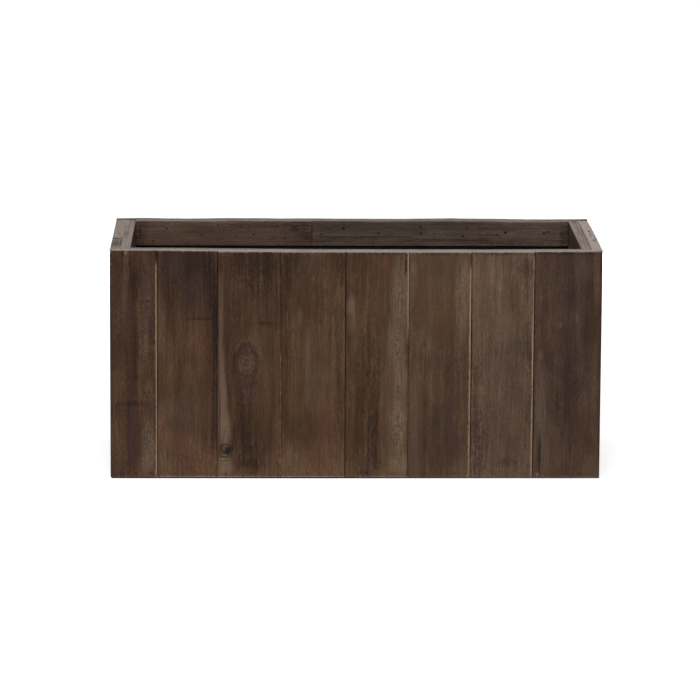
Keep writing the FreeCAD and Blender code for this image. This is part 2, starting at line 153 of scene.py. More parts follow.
class Paint:
    """A material and its nodes."""

    def __init__(self, name):
        self.material = bpy.data.materials.new(name)
        self.material.use_nodes = True
        self.tree = self.material.node_tree
        self.tree.nodes.clear()

    def node(self, kind, settings, sockets):
        """Adds a node, sets it up, and gives its sockets values or links."""
        node = self.tree.nodes.new(kind)
        for name, setting in settings.items():
            setattr(node, name, setting)
        for name, value in sockets.items():
            if isinstance(value, Wire):
                self.tree.links.new(value.socket, node.inputs[name])
            else:
                node.inputs[name].default_value = value
        return node

    def out(self, kind, settings, sockets, number=0):
        return Wire(self, self.node(kind, settings, sockets).outputs[number])

    def math(self, operation, *values):
        return self.out("ShaderNodeMath", {"operation": operation}, dict(enumerate(values)))

    def place(self):
        return self.out("ShaderNodeTexCoord", {}, {}, 3)

    def parts(self, vector):
        node = self.node("ShaderNodeSeparateXYZ", {}, {0: vector})
        return [Wire(self, socket) for socket in node.outputs]

    def join(self, *values):
        return self.out("ShaderNodeCombineXYZ", {}, dict(enumerate(values)))

    def stretch(self, vector, scales, shift=(0, 0, 0)):
        sockets = {0: vector, 1: scales, 2: shift}
        return self.out("ShaderNodeVectorMath", {"operation": "MULTIPLY_ADD"}, sockets)

    def length(self, vector):
        return self.out("ShaderNodeVectorMath", {"operation": "LENGTH"}, {0: vector}, 1)

    def cloud(self, vector, scales, seed, detail, rough):
        """Soft noise around 0.5, stretched by its scales."""
        sockets = {"W": seed, "Scale": 1.0, "Detail": detail, "Roughness": rough}
        sockets["Vector"] = self.stretch(vector, scales)
        return self.out("ShaderNodeTexNoise", {"noise_dimensions": "4D"}, sockets)

    def mottle(self, vector, seed, scales, step, detail, rough):
        """The same around 0, as one of the noises of a seed."""
        return self.cloud(vector, scales, seed + step, detail, rough) - 0.5

    def band(self, value, start, end):
        """0 at start, 1 at end, and smooth between."""
        sockets = {"Value": value, "From Min": start, "From Max": end}
        return self.out("ShaderNodeMapRange", {"interpolation_type": "SMOOTHSTEP"}, sockets)

    def mix(self, share, under, over, blend="MIX"):
        settings = {"data_type": "RGBA", "blend_type": blend}
        return self.out("ShaderNodeMix", settings, {0: share, 6: under, 7: over}, 2)

    def ramp(self, value, *stops):
        node = self.node("ShaderNodeValToRGB", {}, {"Fac": value})
        elements = node.color_ramp.elements
        while len(elements) < len(stops):
            elements.new(1)
        for element, (position, colour) in zip(elements, stops):
            element.position = position
            element.color = colour
        return Wire(self, node.outputs[0])

    def attribute(self, name):
        return self.out("ShaderNodeAttribute", {"attribute_name": name}, {}, 2)

    def finish(self, sockets, height, strength, distance):
        """Ends the material in one surface shader, with its relief."""
        relief = {"Strength": strength, "Distance": distance, "Height": height}
        sockets = {**sockets, "Normal": self.out("ShaderNodeBump", {}, relief)}
        shader = self.out("ShaderNodeBsdfPrincipled", {}, sockets)
        self.node("ShaderNodeOutputMaterial", {}, {"Surface": shader})
        return self.material


# Tints that lie over the stain or the rim
TINTS = {
    "dark": tone(120, 110, 106),
    "black": tone(24, 16, 12),
    "red": tone(92, 58, 43),
    "rose": tone(116, 84, 69),
    "plum": tone(66, 47, 45),
    "olive": tone(82, 66, 45),
    "tan": tone(114, 84, 57),
    "pale": tone(116, 96, 78),
    "bright": tone(158, 140, 120),
    "grey": tone(102, 84, 69),
    "core": tone(90, 75, 65),
    "ring": tone(54, 37, 30),
    "amber": tone(56, 35, 15),
    "rim_dark": tone(88, 77, 75),
    "rim_pale": tone(168, 158, 148),
    "rim_tan": tone(166, 140, 112),
    "rim_seam": tone(64, 48, 42),
}

# Worn wood, the same near the rim or the foot, where the pale line at the foot is partly a painted highlight,
# near-black painted shade for the foot line, the floors of brad pits and the outer corners, and pores
BARE, RIM_BARE = tone(168, 143, 116), tone(146, 134, 127)
PAINTED_SHADE_TONE, PORE = tone(20, 14, 11), tone(32, 22, 18)


def on_face(level, kind, across, down, half_wide, half_high, strength, *shape):
    """A mark on an upright face, from its middle and half sizes in pixels and its strength in per cent."""
    half = (half_wide * PIXEL, 0, half_high * PIXEL)
    return kind, spot((across, down), 1, level), half, strength / 100, *shape


def on_rim(kind, across, down, half_wide, half_high, strength):
    """A mark on the rim, which the camera sees at a low angle."""
    half = (half_wide * PIXEL, half_high * PIXEL / math.sin(RISE), 0)
    return kind, spot((across, down), 2, RIM), half, strength / 100


# Tints of stains at chance places, their half sizes in mm and their strength
CHANCE_KINDS = ("dark", "dark", "dark", "plum", "plum", "red", "red", "olive", "pale", "pale", "tan")
CHANCE_WIDE, CHANCE_TALL, CHANCE_STRENGTH = (6, 22), (18, 110), (0.3, 0.6)


def chance_marks(node, thick_axis, seed):
    """Stains at chance places on a board that the photograph doesn't show."""
    draw = random.Random(seed)
    low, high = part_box(node)
    marks = []
    for kind in CHANCE_KINDS:
        middle = Vector([draw.uniform(first, last) for first, last in zip(low, high)])
        wide, tall = draw.uniform(*CHANCE_WIDE) * MM, draw.uniform(*CHANCE_TALL) * MM
        half = [wide, wide, tall]
        half[thick_axis] = 0
        marks.append((kind, middle, half, draw.uniform(*CHANCE_STRENGTH)))
    return marks


def within(paint, here, middle, half):
    """A place as seen from the middle of an ellipse, measured in its half sizes."""
    scales = Vector([1 / size if size else 0 for size in half])
    return paint.stretch(here, scales, Vector([-place * scale for place, scale in zip(middle, scales)]))


# Noise in the wood: its scales across, into and along the board, step of its seed, detail and roughness
PLAIN_NOISE = {
    "bend": ((9, 9, 5), 0, 2, 0.5),
    "cloudy": ((22, 22, 9), 5, 4, 0.6),
    "lumps": ((190, 190, 140), 8, 4, 0.75),
    "sawn": ((9, 9, 560), 10, 2, 0.6),
    "swirl": ((55, 55, 70), 11, 2, 0.5),
}
# The same for noise that follows the grain round the knots
GRAIN_NOISE = {
    "broad": ((62, 62, 2.6), 1, 3, 0.55),
    "streak": ((240, 240, 7), 2, 3, 0.6),
    "fine": ((850, 850, 30), 3, 2, 0.6),
    "fleck": ((480, 480, 120), 4, 2, 0.6),
    "grit": ((760, 760, 330), 9, 2, 0.6),
}
# The same for the grain of a sawn end and for the weathered specks of the rim
END_RINGS = (90, 240, 0), 6, 3, 0.6
SPECKS = (620, 620, 620), 7, 2, 0.6

# How much each noise counts in what it makes
WEIGHTS = {
    "growth": {"lumps": 4, "swirl": 7},
    "ragged": {"streak": 1.5, "fleck": 1.5, "grit": 0.8, "cloudy": 0.9},
    "arc": {"lumps": 0.45, "swirl": 0.4},
    "speckle_edge": {"cloudy": 0.8},
    "shade": {"fine": 1.2, "sawn": 0.22},
    "pores": {"fine": 1, "streak": 0.6, "fleck": 0.3},
    "worn": {"streak": 0.5, "fleck": 0.8},
    "painted_shade": {"fleck": 0.6},
    "rim_ragged": {"specks": 1.2},
    "sawn_end": {"rings": 1.5, "specks": 1.1},
    "rail_top": {"broad": 0.9, "streak": 1.1, "fine": 0.6, "cloudy": 0.6, "specks": 0.5},
    "rough": {"streak": 0.35, "fleck": 0.25},
    "relief": {"streak": 0.8, "fine": 0.8, "fleck": 0.7, "grit": 0.4},
}
# How strongly the noises show in a stain and its speckles, where its look doesn't say
STAIN_SHARES = {"broad": 1.0, "streak": 0.75, "cloudy": 1.0}
SPECKLE, FLECK, GRIT = 0.7, 1.7, 1.9

# Where a mark, a knot's pull, its growth rings and a speckled patch begin and are full, in half sizes
MARK_BAND, PULL_BAND, GROWTH_BAND, SPECKLE_BAND = (1.35, 0.25), (3.2, 0.4), (1.7, 0.6), (1.3, 0.4)
# How close a knot's growth rings lie, and how much they show in the stain
RING_PITCH, GROWTH = 17, 0.17
# Share of an arc's thickness that is full, and where an arc that leans to one side begins and is full
ARC_CORE, LEAN_BAND = 0.2, (-0.2, 0.7)
# How far the grain bends, and how high the painted light of the floor's bounce reaches up a board
BEND, BOUNCE_HIGH = 12 * MM, 75 * MM
# Levels of the dark, middle and light tone, and how much of a tone the speckles leave at least
STOPS, DARKEST_SHADE = (0.1, 0.5, 0.9), 0.35
# Where pores, worn wood with the painted highlight line at the foot, and painted shade begin and are full, and how
# much the first two cover
PORE_BAND, WORN_BAND, SHADE_BAND = (-0.15, -0.32), (0.2, 0.8), (0.1, 0.9)
PORE_SHARE, WORN_SHARE = 0.6, 0.9
# How near the rim or the foot bare wood begins to turn grey, and is grey
GREY_FROM, GREY_FULL = 12 * MM, 6 * MM
# Roughness, what the rim adds to it, shine, and the relief's strength and depth
ROUGH, TOP_ROUGH, SHINE, RELIEF, RELIEF_DEEP = 0.66, 0.16, 0.14, 0.4, 0.7 * MM


def weigh(noises, use):
    """The noises that make something, added up."""
    return sum(noises[kind] * weight for kind, weight in WEIGHTS[use].items())


def lay(paint, colour, kind, share):
    """Lays a tint over a colour. The dark one darkens what is under it."""
    return paint.mix(share, colour, TINTS[kind], "MULTIPLY" if kind == "dark" else "MIX")


def tinted(paint, colour, marks, here, centre, ragged):
    """Lays the marks over a colour, each with a ragged edge."""
    for kind, middle, half, strength in marks:
        reach = paint.length(within(paint, here, middle - centre, half)) + ragged
        colour = lay(paint, colour, kind, paint.band(reach, *MARK_BAND) * strength)
    return colour


def wood(name, look, facing, upright, centre):
    """Stained reclaimed wood with its own streaks, marks, worn arrises and weathered top, and painted light and
    shade: a lighter foot, a highlight line and a shade line along the foot, and shade in pits and on outer corners.
    """
    paint = Paint(name)
    seed = look["seed"]
    here = paint.stretch(paint.place(), (1, 1, 1), -centre)
    x, y, z = paint.parts(here)
    sideways, depth, upward = {"top": (x, z, y), "left": (y, x, z), "right": (y, x, z)}.get(facing, (x, y, z))
    across, along = (sideways, upward) if upright else (upward, sideways)
    plain = paint.join(across, depth, along)
    noises = {kind: paint.mottle(plain, seed, *setup) for kind, setup in PLAIN_NOISE.items()}

    across = across + noises["bend"] * BEND
    growth = 0
    for _, middle, half, strength in look.get("knots", ()):
        reach = paint.length(within(paint, here, middle - centre, half))
        across = across - (across - (middle - centre).x) * paint.band(reach, *PULL_BAND) * strength
        rings = paint.math("SINE", reach * RING_PITCH + weigh(noises, "growth"))
        growth = growth + rings * paint.band(reach, *GROWTH_BAND)
    grain = paint.join(across, depth, along)
    noises.update((kind, paint.mottle(grain, seed, *setup)) for kind, setup in GRAIN_NOISE.items())

    # The stain is painted lighter towards the foot, as light bounced up from the floor
    level = 0.5 + paint.band(z + centre.z, BOUNCE_HIGH, 0) * look.get("painted_floor_bounce", 0) + growth * GROWTH
    for kind, share in STAIN_SHARES.items():
        level = level + noises[kind] * look.get(kind, share)
    colour = paint.ramp(level, *zip(STOPS, look["stain"]))

    colour = tinted(paint, colour, look.get("marks", ()), here, centre, weigh(noises, "ragged"))
    for kind, middle, half, strength, thick, lean in look.get("arcs", ()):
        inside = within(paint, here, middle - centre, half)
        ring = paint.math("ABSOLUTE", paint.length(inside) + weigh(noises, "arc") - 1)
        share = paint.band(ring, thick, ARC_CORE * thick)
        if lean:
            side, _, rise = paint.parts(inside)
            share = share * paint.band(side * lean[0] + rise * lean[1], *LEAN_BAND)
        colour = lay(paint, colour, kind, share * strength)

    speckled = look.get("speckle", SPECKLE)
    for _, middle, half, strength in look.get("speckles", ()):
        reach = paint.length(within(paint, here, middle - centre, half)) + weigh(noises, "speckle_edge")
        speckled = speckled + paint.band(reach, *SPECKLE_BAND) * strength
    speckle = (noises["fleck"] * look.get("fleck", FLECK) + noises["grit"] * GRIT) * speckled
    shade = paint.math("MAXIMUM", 1 + weigh(noises, "shade") + speckle, DARKEST_SHADE)
    colour = paint.mix(1, colour, paint.join(shade, shade, shade), "MULTIPLY")
    pores = paint.band(weigh(noises, "pores"), *PORE_BAND)
    colour = paint.mix(pores * PORE_SHARE, colour, PORE)

    # Worn arrises, and the pale line at the foot, which is partly a painted highlight
    worn = paint.band(paint.attribute("wear") + weigh(noises, "worn"), *WORN_BAND)
    from_middle = paint.math("ABSOLUTE", z + (centre.z - RIM / 2))
    bare = paint.mix(paint.band(from_middle, RIM / 2 - GREY_FROM, RIM / 2 - GREY_FULL), BARE, RIM_BARE)
    colour = paint.mix(worn * WORN_SHARE, colour, bare)
    # Painted shade: near black along the foot for the contact shadow, on the floors of brad pits and along the
    # outer corners
    painted_shade = paint.band(paint.attribute("painted_shade") + weigh(noises, "painted_shade"), *SHADE_BAND)
    colour = paint.mix(painted_shade, colour, PAINTED_SHADE_TONE)

    top = paint.attribute("top")
    if "end" in look:
        noises["specks"] = paint.mottle(here, seed, *SPECKS)
        if upright:
            noises["rings"] = paint.mottle(plain, seed, *END_RINGS)
        silver = 0.5 + weigh(noises, "sawn_end" if upright else "rail_top")
        weathered = paint.ramp(silver, *zip(STOPS, look["end"]))
        marks = look.get("rim_marks", ())
        weathered = tinted(paint, weathered, marks, here, centre, weigh(noises, "rim_ragged"))
        colour = paint.mix(top, colour, weathered)

    rough = ROUGH + weigh(noises, "rough") + top * TOP_ROUGH
    sockets = {"Base Color": colour, "Roughness": rough, "Specular IOR Level": SHINE}
    return paint.finish(sockets, weigh(noises, "relief"), RELIEF, RELIEF_DEEP)


def level_at(steps, run):
    """A strength that is the same along a run, or changes between (run, strength) steps."""
    if not isinstance(steps, tuple):
        return steps
    if run <= steps[0][0]:
        return steps[0][1]
    for (low, first), (high, second) in zip(steps, steps[1:]):
        if run <= high:
            return first + (second - first) * (run - low) / (high - low)
    return steps[-1][1]


def waver(seed, first, second=0.0):
    """Smooth noise around 0 along one or two runs."""
    return noise.noise(Vector((first, second, seed * SEED_STEP)))


def brad_middles(group):
    """The middle of each brad in a group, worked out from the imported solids."""
    bm = bmesh.new()
    bm.from_mesh(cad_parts[group].data)
    bmesh.ops.remove_doubles(bm, verts=bm.verts, dist=TOUCH)
    middles = []
    unseen = set(bm.verts)
    while unseen:
        island, edge = set(), [unseen.pop()]
        while edge:
            vert = edge.pop()
            island.add(vert)
            for link in vert.link_edges:
                other = link.other_vert(vert)
                if other in unseen:
                    unseen.remove(other)
                    edge.append(other)
        middles.append(sum((vert.co for vert in island), Vector()) / len(island))
    bm.free()
    return middles


# How far apart the noise of two seeds lies
SEED_STEP = 3.7
# Pitch of a plank's mesh, and the shares of a rounded edge at which it is cut
PITCH = 5.5 * MM
ROUND_CUTS = 0.12, 0.45, 1
# Half sizes and depth of the pit round a brad, slope of its sides, and how far round it faces are cut
PIT_WIDE, PIT_HIGH, PIT_DEEP = 1.8 * MM, 1.55 * MM, 0.9 * MM
PIT_SLOPE, PIT_REACH = 0.15 * MM, 1.6 * PITCH
# Depth of what counts as the show face, and as the bottom of a pit, which is painted as shade
FACE_DEEP, PIT_BOTTOM = 1.2 * PIT_DEEP, 0.5 * PIT_DEEP
# How square to a direction a face has to be to count as facing that way
SQUARE = 0.9
# Heights of the painted shade line at the foot of a wall, which stands in for the contact shadow, and of the pale
# line above it, which is partly worn wood and partly a painted highlight
SHADE_LINE_HIGH, PALE_LOW, PALE_HIGH = 2.2 * MM, 2.3 * MM, 3.7 * MM
# Depth at which two boards close the gap between them, and how far each reaches into it
LIP_DEEP, LIP_WIDE = 4 * MM, 0.51 * MM
# How far a board reaches into a joint that is all but shut, and how far the edges of other joints waver
TIGHT, JOINT_WAVE, JOINT_WAVES = 0.36 * MM, 0.2 * MM, 21
# Width and strength of the painted shade along the outer corners, where the rounded arris turns away from the light
CORNER_WIDE, CORNER_SHADE = 2.2 * MM, 0.5
# How deep the rim follows its line
RIM_DEEP = 1.8 * MM
# Radius of the bottom corner at the left end of the front and of the back
FOOT_CORNER = 4.2 * MM
# How far the right wall bows outwards at the middle of its length
RIGHT_BOW = 1.2 * MM
# Shares by which rounded edges waver, and how many times in a metre, in long and in short waves
LONG_SHARE, LONG_WAVES, SHORT_SHARE, SHORT_WAVES = 0.3, 38, 0.25, 160
# Reach of the wear at an edge, in its radius, and how fast it comes to its full strength
WEAR_REACH, WEAR_GAIN = 1.35, 2.2
# Depth of the hollows in a face, and how close they lie across and up it
HOLLOW, HOLLOW_WAVES = 0.25 * MM, (14, 7)
# Default roughness of the rim in mm, how close its waves lie along and across it, and how low it lies
RIM_WAVE, RIM_WAVES, RIM_DROP = 0.3, (26, 40), 0.1 * MM
# Edges that are sharper than this stay sharp in the shading
SHARP = math.radians(38)
# Lengths below which places are the same, and margins
TOUCH, CUT_TOUCH = 1e-5, 1e-6
OVER, UNDER = 1.01, 0.99

# How the rim rises above and drops below its level in mm, by its place along X
RIM_LINES = {
    "front": (
        (-0.4, 0), (-0.3, -0.2), (-0.2, -0.7), (-0.1, -1.1), (0.05, -1.1), (0.2, -1), (0.3, -0.5), (0.4, -0.1),
    ),
    "front_rail": (
        (-0.4, 0), (-0.3, -0.3), (-0.2, -1.2), (-0.1, -1.75), (0.05, -2), (0.2, -1.95), (0.3, -1.25), (0.4, -0.7),
    ),
    "back": (
        (-0.4, 0.5), (-0.36, 1), (-0.28, 0.2), (-0.2, 1.2), (-0.13, 0.8), (-0.07, 1), (0, 0.6), (0.08, 0.5),
        (0.17, 1.5), (0.24, 0.9), (0.3, 0.1), (0.34, 0), (0.4, 1),
    ),
}

# How the front's uneven foot lifts off the ground, in mm, and how far up the boards that reaches
FOOT_LINE = ((-0.05, 0), (0.1, 0.5), (0.4, 1.1))
FOOT_DEEP = 8 * MM


def cut_across(bm, faces, axis, level):
    """Cuts some faces with a plane square to an axis."""
    normal = Vector((0, 0, 0))
    normal[axis] = 1
    geom = set(faces)
    for face in faces:
        geom.update(face.edges)
        geom.update(face.verts)
    bmesh.ops.bisect_plane(bm, geom=list(geom), dist=CUT_TOUCH, plane_co=normal * level, plane_no=normal)


def brad_pit(bm, place, scale):
    """Sinks a small square pit into the show face round a brad."""
    for axis, half in ((0, PIT_WIDE * scale), (2, PIT_HIGH * scale)):
        for side in (-half, half):
            faces = []
            for face in bm.faces:
                away = face.calc_center_median() - place
                near = abs(away.x) < PIT_REACH and abs(away.z) < PIT_REACH
                if near and face.normal.y < -SQUARE:
                    faces.append(face)
            cut_across(bm, faces, axis, place[axis] + side)
    showing = [face for face in bm.faces if face.normal.y < -SQUARE]
    pit = min(showing, key=lambda face: (face.calc_center_median() - place).length)
    bmesh.ops.inset_region(bm, faces=[pit], thickness=PIT_SLOPE, depth=-PIT_DEEP)


def ease(radius, gap):
    """How far a rounded edge lies behind its face, at a distance from that edge."""
    if gap >= radius:
        return 0
    gap = max(gap, 0)
    return radius - math.sqrt(gap * (2 * radius - gap))


def plank_mesh(size, rounds, look, brads):
    """A gridded box with cuts where its edges are eased, its foot changes colour and its brads sit."""
    bm = bmesh.new()
    bmesh.ops.create_cube(bm, size=1)
    bmesh.ops.scale(bm, vec=size, verts=bm.verts)
    bmesh.ops.translate(bm, vec=size / 2, verts=bm.verts)
    for axis in (0, 2):
        edges = [e for e in bm.edges if abs((e.verts[0].co - e.verts[1].co)[axis]) > PITCH]
        cuts = max(2, round(size[axis] / PITCH) - 1)
        bmesh.ops.subdivide_edges(bm, edges=edges, cuts=cuts, use_grid_fill=True)
    starts = {"left": (0, 0, 1), "right": (0, size.x, -1), "foot": (2, 0, 1), "rim": (2, size.z, -1)}
    for side, (axis, start, way) in starts.items():
        for share in ROUND_CUTS:
            cut_across(bm, bm.faces[:], axis, start + way * rounds[side] * share)
    for level in (SHADE_LINE_HIGH, PALE_LOW, PALE_HIGH):
        cut_across(bm, bm.faces[:], 2, level)
    if look.get("closed"):
        cut_across(bm, bm.faces[:], 1, LIP_DEEP)
    bm.normal_update()
    for brad in brads:
        middle = Vector((brad.x, 0, brad.z))
        if 0 < middle.x < size.x and 0 < middle.z < size.z:
            brad_pit(bm, middle, look.get("pit", 1))
    return bm


def wear_plank(bm, size, rounds, look, upright, in_world):
    """Eases the edges of a plank, roughens it, and marks its worn and weathered places, a pale line at the foot
    that is partly a painted highlight, and painted shade.
    """
    seed = look["seed"]
    wear = bm.verts.layers.float.new("wear")
    painted_shade = bm.verts.layers.float.new("painted_shade")
    top = bm.faces.layers.float.new("top")
    for face in bm.faces:
        face[top] = 1 if face.normal.z > SQUARE and "end" in look else 0
    for vert in bm.verts:
        place = vert.co.copy()
        world = in_world(place)
        gaps = {"left": place.x, "right": size.x - place.x, "foot": place.z, "rim": size.z - place.z}
        if place.y < FACE_DEEP:
            sink = 0
            for side, gap in gaps.items():
                run = place.z if side in ("left", "right") else place.x
                eased = rounds[side] * (1 + LONG_SHARE * waver(seed + len(side), run * LONG_WAVES))
                eased += rounds[side] * SHORT_SHARE * waver(seed - len(side), run * SHORT_WAVES)
                sink = max(sink, ease(eased, gap))
                if side in look.get("wear", {}):
                    near = min(1, WEAR_GAIN * max(0, 1 - gap / (WEAR_REACH * rounds[side])))
                    # At the foot the mark is a pale line above the painted shade line, partly worn wood and partly
                    # a painted highlight on the rounded arris
                    if side == "foot":
                        near = 1 if PALE_LOW * UNDER < gap < PALE_HIGH * OVER else 0
                    vert[wear] = max(vert[wear], level_at(look["wear"][side], run) * near)
            # The floor of a brad pit is painted near black as the shade in the hole
            if place.y > PIT_BOTTOM:
                vert[painted_shade] = 1
            hollow = 0.5 + 0.5 * waver(seed, place.x * HOLLOW_WAVES[0], place.z * HOLLOW_WAVES[1])
            bow = RIGHT_BOW * math.cos(world.y * math.pi / 2 / DEPTH_HALF) if look.get("bowed") else 0
            vert.co.y += sink + HOLLOW * hollow - bow
            # A line of painted shade along the foot stands in for the contact shadow on the floor
            if place.z < SHADE_LINE_HIGH * OVER:
                vert[painted_shade] = max(vert[painted_shade], level_at(look.get("painted_shade", 0), place.x))
            # Painted shade along an outer vertical corner
            if "corner" in look and gaps[look["corner"]] < CORNER_WIDE:
                vert[painted_shade] = max(vert[painted_shade], CORNER_SHADE)
        if gaps["rim"] < RIM_DEEP:
            line = RIM_LINES.get(look.get("rim_line"))
            lift = level_at(line, world.x) * MM if line else 0
            rough = waver(seed, place.x * RIM_WAVES[0], place.y * RIM_WAVES[1])
            vert.co.z += lift + min(0, look.get("wave", RIM_WAVE) * MM * rough - RIM_DROP)
        if look.get("lifted") and gaps["foot"] < FOOT_DEEP:
            vert.co.z += level_at(FOOT_LINE, world.x) * MM * (1 - gaps["foot"] / FOOT_DEEP)
        if look.get("corner") == "left" and gaps["left"] < FOOT_CORNER:
            vert.co.x = max(vert.co.x, ease(FOOT_CORNER, gaps["foot"]))
        for side, way in (("left", 1), ("right", -1)):
            if gaps[side] < TOUCH and upright:
                inside = place.y > LIP_DEEP * UNDER
                if inside and side in look.get("closed", ()):
                    vert.co.x -= way * LIP_WIDE
                elif side in look.get("tight", ()):
                    vert.co.x -= way * TIGHT
                elif not inside:
                    vert.co.x += way * JOINT_WAVE * (0.5 + 0.5 * waver(seed + way, place.z * JOINT_WAVES))


def plank(node, facing, look, upright=True, brads=()):
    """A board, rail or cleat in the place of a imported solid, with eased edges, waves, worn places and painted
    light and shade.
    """
    turn = Matrix(FACING[facing]).transposed()
    back = turn.inverted()
    lowest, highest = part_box(node)
    corners = [back @ corner for corner in (lowest, highest)]
    low = Vector([*map(min, *corners)])
    size = Vector([*map(max, *corners)]) - low
    rounds = dict(zip(("left", "right", "foot", "rim"), (radius * MM for radius in look["rounds"])))

    bm = plank_mesh(size, rounds, look, [back @ brad - low for brad in brads])
    wear_plank(bm, size, rounds, look, upright, lambda place: turn @ (place + low))
    bmesh.ops.transform(bm, matrix=turn.to_4x4() @ Matrix.Translation(low), verts=bm.verts)
    bm.normal_update()
    for face in bm.faces:
        face.smooth = True
    for edge in bm.edges:
        edge.smooth = edge.calc_face_angle(0) < SHARP
    piece = add_mesh(node + "_wood", bm)
    piece.data.materials.append(wood(node + "_stain", look, facing, upright, (lowest + highest) / 2))
    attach(piece, "trough")
    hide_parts(node)


# Stain of each front board, how much lighter it is painted towards the foot as light bounced from the floor, how
# its edges are eased at the left, right, foot and rim in mm, where they are worn (at the foot a pale line that is
# partly a painted highlight), how strong the painted shade line at its foot is, and its speckled patches, knots and
# arcs: tint, middle and half sizes in pixels, strength in per cent, and for an arc its thickness in half sizes and
# the way in which it is strongest
FRONT_LOOKS = {
    1: {
        "stain": tones((44, 26, 17), (68, 46, 32), (94, 70, 51)), "painted_floor_bounce": 0.2, "rounds": (3, 1.7, 1.4, 1.0),
        "corner": "left", "wear": {"right": ((0, 0.85), (0.352, 0.8), (0.366, 0.1)), "foot": 0.3, "rim": 0.3},
        "painted_shade": 1, "speckles": (("", 147.5, 345, 8, 80, 90), ("", 148, 430, 8, 50, 70), ("", 120, 300, 8, 60, 20)),
    },
    2: {
        "stain": tones((40, 24, 15), (72, 49, 34), (98, 73, 53)), "painted_floor_bounce": 0.35, "rounds": (0.7, 0.9, 1.4, 1.2),
        "streak": 0.95, "wear": {"foot": 0.55, "rim": 0.45}, "painted_shade": 1, "speckles": (("", 168, 390, 10, 60, 25),),
    },
    3: {
        "stain": tones((38, 23, 14), (68, 46, 31), (92, 68, 49)), "painted_floor_bounce": 0.48, "rounds": (0.7, 1.2, 1.4, 2.0),
        "streak": 0.85, "speckle": 0.65,
        "wear": {
            "left": ((0, 0.5), (0.22, 0.4), (0.3, 0)), "right": ((0, 0.5), (0.20, 0.4), (0.25, 0)),
            "foot": ((0, 0.7), (0.03, 0.5)), "rim": 0.85,
        },
        "painted_shade": 1, "knots": (("", 246.5, 363.5, 9, 13, 72), ("", 226.8, 448.5, 4.4, 5, 72)),
        "arcs": (
            ("pale", 245.6, 363, 14.2, 22, 13, 0.1, (-0.3, 1)), ("ring", 246.6, 361, 11.4, 16, 60, 0.2, (0.1, 1)),
            ("ring", 246, 364, 11.4, 11, 50, 0.24, (-1, 0)), ("ring", 247, 363, 12.6, 13.6, 35, 0.14, (1, 0.1)),
            ("ring", 246.4, 368.4, 8.6, 8.4, 40, 0.16, (0.2, -1)),
            ("black", 226, 448.6, 5.2, 4.3, 75, 0.34, None),
        ),
    },
    4: {
        "stain": tones((46, 29, 18), (75, 52, 35), (100, 76, 55)), "painted_floor_bounce": 0.58,
        "rounds": (0.8, 0.9, 1.4, 2.3), "speckle": 0.6, "wear": {"foot": 0.55, "rim": 0.95}, "painted_shade": 1,
    },
    5: {
        "stain": tones((44, 27, 17), (70, 48, 32), (96, 73, 53)), "painted_floor_bounce": 0.42, "rounds": (0.9, 1.2, 1.4, 2.1),
        "speckle": 0.65, "broad": 1.2,
        "wear": {
            "right": ((0, 0), (0.21, 0), (0.25, 0.7), (0.36, 1)), "foot": ((0, 0.3), (0.05, 0.5)), "rim": 0.95,
        },
        "painted_shade": 1, "speckles": (("", 397, 330, 9, 60, 60), ("", 397, 420, 10, 60, 70)),
    },
    6: {
        "stain": tones((54, 37, 26), (78, 57, 42), (101, 79, 60)), "painted_floor_bounce": 0.12,
        "rounds": (0.9, 1.6, 1.4, 2.2), "streak": 0.55, "broad": 0.75, "speckle": 0.55, "fleck": 1.3,
        "wear": {"right": ((0, 0.9), (0.34, 1), (0.362, 0.15)), "foot": 0.35, "rim": 0.95},
        "painted_shade": ((0, 1), (0.1, 0.8)), "speckles": (("", 413, 330, 5, 90, 35), ("", 460, 300, 7, 50, 50)),
    },
    7: {
        "stain": tones((62, 45, 34), (94, 73, 59), (115, 92, 76)), "painted_floor_bounce": 0.18,
        "rounds": (0.8, 1.6, 1.4, 1.8), "streak": 0.4, "speckle": 0.72, "fleck": 1.0,
        "wear": {
            "right": ((0, 0.95), (0.22, 0.95), (0.3, 0.6), (0.36, 0.75), (0.372, 0.4)), "foot": 0.35, "rim": 0.85,
        },
        "painted_shade": ((0, 0.85), (0.1, 0.75)),
    },
    8: {
        "stain": tones((48, 32, 24), (68, 49, 38), (86, 65, 51)), "painted_floor_bounce": 0.36, "rounds": (0.8, 3, 1.4, 1.2),
        "streak": 0.4, "broad": 1.2, "speckle": 0.6, "fleck": 1.2, "cloudy": 2.0, "corner": "right",
        "wear": {"foot": 0.35, "rim": 0.5}, "painted_shade": 0.8, "speckles": (("", 546, 350, 8, 80, 25),),
    },
}

